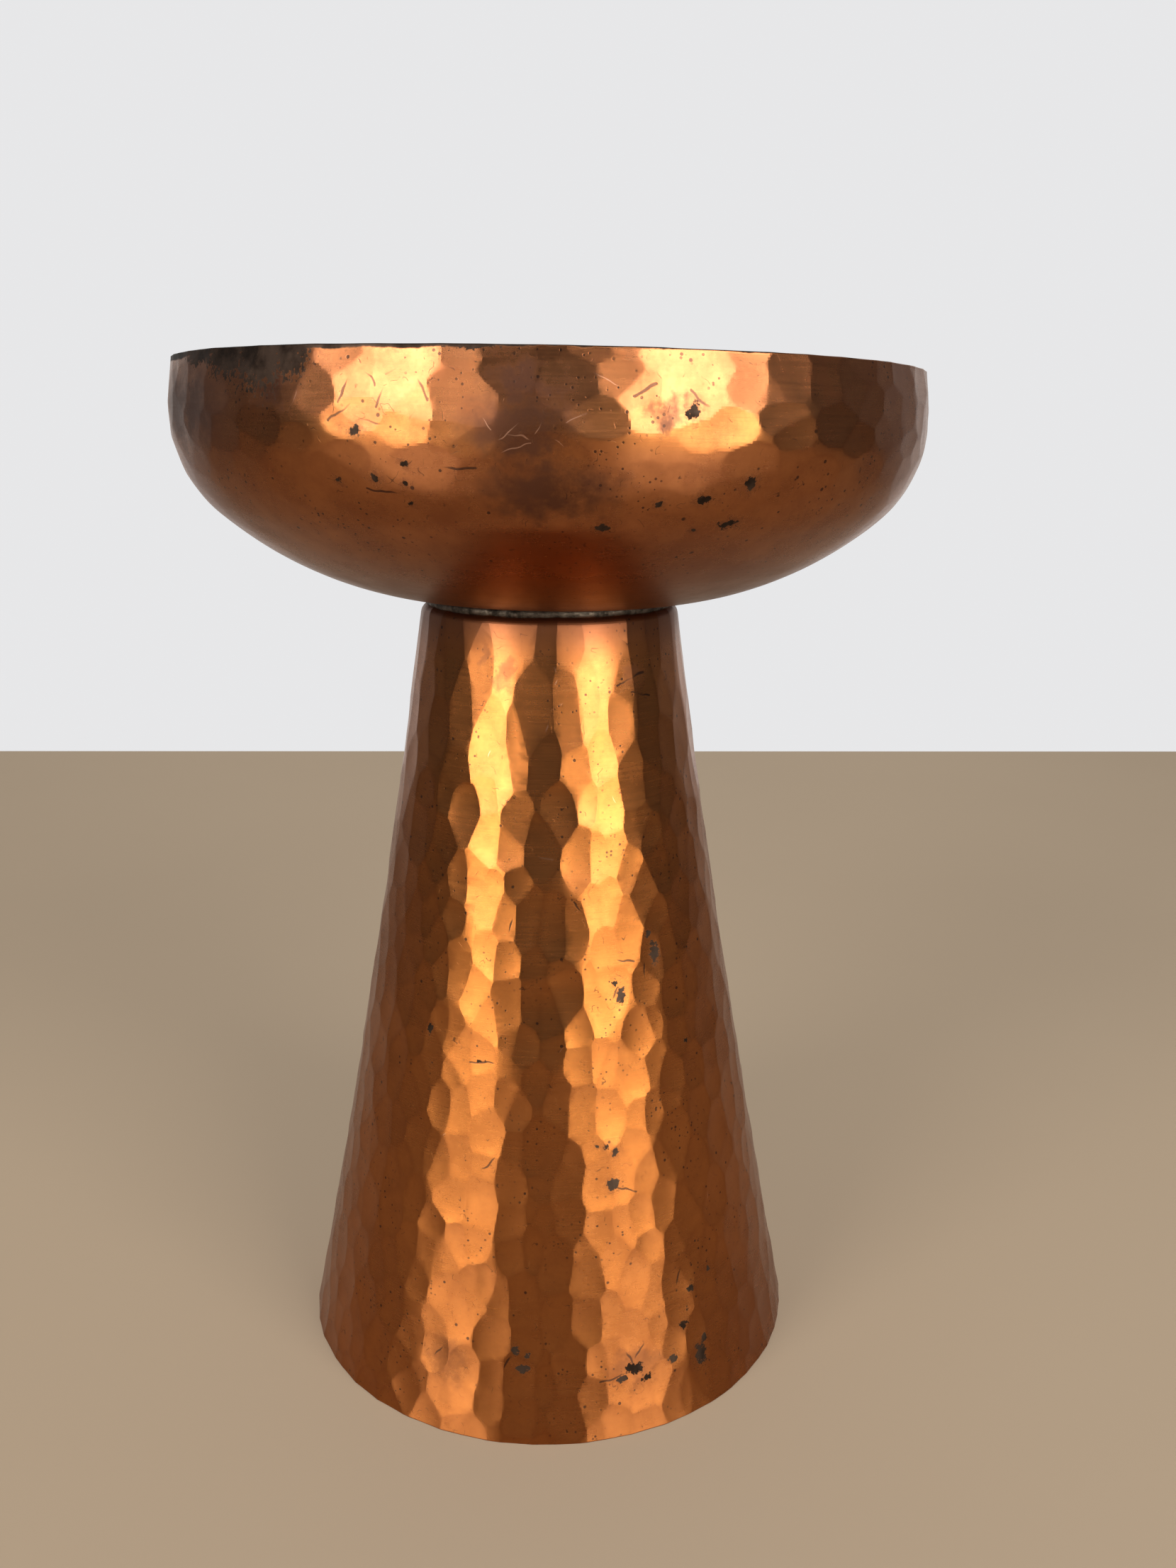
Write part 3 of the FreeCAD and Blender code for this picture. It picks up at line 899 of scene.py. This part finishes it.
# Each window is a tall light on top of a low warm one, the light that its sill sends up.
# A window: its name, azimuth from the viewer in degrees, and width.
WINDOWS = (("left", -42.5, 0.47), ("right", 37.5, 0.59))
WINDOWS_AWAY = 1.0
SILL_LOW = 0.02
SILL_HIGH = 0.2
WINDOW_HIGH = 1.0
SILL_RADIANCE = 7.2
SILL_TINT = (1.0, 0.98, 0.66)
WINDOW_RADIANCE = 9.2
WINDOW_TINT = (1.0, 0.98, 0.95)
OVERHEAD_RADIANCE = 0.8
OVERHEAD_WIDE = 1.4
OVERHEAD_PLACE = (0, 0.2, 1.5)

ROOM_IN_FRONT = (0.085, 0.10, 0.13, 1)
ROOM_BEHIND = (0.72, 0.71, 0.70, 1)
BACKGROUND = (0.80, 0.80, 0.81, 1)

# The viewing angle: low over the bowl's rim, pitched down, with a phone's wide lens.
CAMERA_PLACE = (0, -0.2816, 0.1979)
CAMERA_YAW = -1.70
CAMERA_DOWN = 14.64
CAMERA_ROLL = 0.41
CAMERA_LENS = 30.44
CAMERA_SENSOR = 36
CAMERA_NEAREST = 0.01


def make_sheet(name, start, end, material):
    """A flat sheet as wide as the studio, between two distances behind and heights."""
    points = [(x, *edge) for edge in (start, end) for x in (-HALF_WIDE, HALF_WIDE)]
    mesh = bpy.data.meshes.new(name)
    mesh.from_pydata(points, [], [(0, 1, 3, 2)])
    mesh.materials.append(material)
    thing = place(name, mesh)
    return thing


def make_floor():
    floor = make_sheet("floor", (FLOOR_AHEAD, 0.0), (WALL_BEHIND, 0.0), pale_floor())
    floor.visible_glossy = False
    floor.visible_diffuse = False
    floor.visible_shadow = False


def make_reflected_room():
    ahead = (FLOOR_AHEAD, REFLECTED_FLOOR_LEVEL)
    behind = (WALL_BEHIND, REFLECTED_FLOOR_LEVEL)
    floor = make_sheet("reflected_floor", ahead, behind, reflected_floor())
    wall = make_sheet("reflected_wall", behind, (WALL_BEHIND, WALL_TALL), reflected_wall())
    floor.visible_camera = False
    wall.visible_camera = False


def make_softbox(name, azimuth, low, high, width, radiance, tint):
    """An upright rectangle of light that faces the object's axis."""
    lamp = bpy.data.lights.new(name, "AREA")
    lamp.shape = "RECTANGLE"
    lamp.size = width
    lamp.size_y = high - low
    lamp.energy = radiance * pi * width * (high - low)
    lamp.color = tint
    thing = bpy.data.objects.new(name, lamp)
    bpy.context.scene.collection.objects.link(thing)
    angle = radians(azimuth)
    thing.location = (WINDOWS_AWAY * sin(angle), -WINDOWS_AWAY * cos(angle), (low + high) / 2)
    towards = Vector((-thing.location[0], -thing.location[1], 0))
    thing.rotation_euler = towards.to_track_quat("-Z", "Y").to_euler()
    thing.visible_camera = False


def make_overhead():
    """A round soft light that faces down."""
    lamp = bpy.data.lights.new("overhead", "AREA")
    lamp.shape = "DISK"
    lamp.size = OVERHEAD_WIDE
    lamp.energy = OVERHEAD_RADIANCE * pi * pi * (OVERHEAD_WIDE / 2) ** 2
    thing = bpy.data.objects.new("overhead", lamp)
    bpy.context.scene.collection.objects.link(thing)
    thing.location = OVERHEAD_PLACE
    thing.visible_camera = False


def make_world():
    """Pale to the camera. Reflections see it pale behind and dim in front."""
    world = bpy.data.worlds.new("studio")
    bpy.context.scene.world = world
    world.use_nodes = True
    tree = world.node_tree
    tree.nodes.clear()

    def add(kind, **settings):
        node = tree.nodes.new(kind)
        for key, value in settings.items():
            setattr(node, key, value)
        return node

    way = add("ShaderNodeSeparateXYZ")
    tree.links.new(add("ShaderNodeTexCoord").outputs["Generated"], way.inputs[0])
    back = add("ShaderNodeMapRange", interpolation_type="SMOOTHSTEP")
    back.inputs["From Min"].default_value = 0.05
    back.inputs["From Max"].default_value = 0.75
    tree.links.new(way.outputs["Y"], back.inputs["Value"])
    room = add("ShaderNodeMix", data_type="RGBA")
    room.inputs[6].default_value = ROOM_IN_FRONT
    room.inputs[7].default_value = ROOM_BEHIND
    tree.links.new(back.outputs[0], room.inputs["Factor"])
    seen = add("ShaderNodeMix", data_type="RGBA")
    seen.inputs[7].default_value = BACKGROUND
    tree.links.new(add("ShaderNodeLightPath").outputs["Is Camera Ray"], seen.inputs["Factor"])
    tree.links.new(room.outputs[2], seen.inputs[6])
    light = add("ShaderNodeBackground")
    tree.links.new(seen.outputs[2], light.inputs["Color"])
    tree.links.new(light.outputs[0], add("ShaderNodeOutputWorld").inputs["Surface"])


def make_camera():
    lens = bpy.data.cameras.new("camera")
    lens.sensor_width = CAMERA_SENSOR
    lens.lens = CAMERA_LENS
    thing = bpy.data.objects.new("camera", lens)
    bpy.context.scene.collection.objects.link(thing)
    turn = Matrix.Rotation(radians(CAMERA_YAW), 4, "Z")
    pitch = Matrix.Rotation(radians(90 - CAMERA_DOWN), 4, "X")
    roll = Matrix.Rotation(radians(CAMERA_ROLL), 4, "Z")
    thing.matrix_world = Matrix.Translation(CAMERA_PLACE) @ turn @ pitch @ roll
    lens.clip_start = CAMERA_NEAREST
    bpy.context.scene.camera = thing


make_floor()
make_reflected_room()
for side, azimuth, width in WINDOWS:
    make_softbox("sill_" + side, azimuth, SILL_LOW, SILL_HIGH, width, SILL_RADIANCE, SILL_TINT)
    make_softbox("window_" + side, azimuth, SILL_HIGH, WINDOW_HIGH, width, WINDOW_RADIANCE,
                 WINDOW_TINT)
make_overhead()
make_world()
make_camera()
bpy.context.scene.view_settings.view_transform = "Standard"
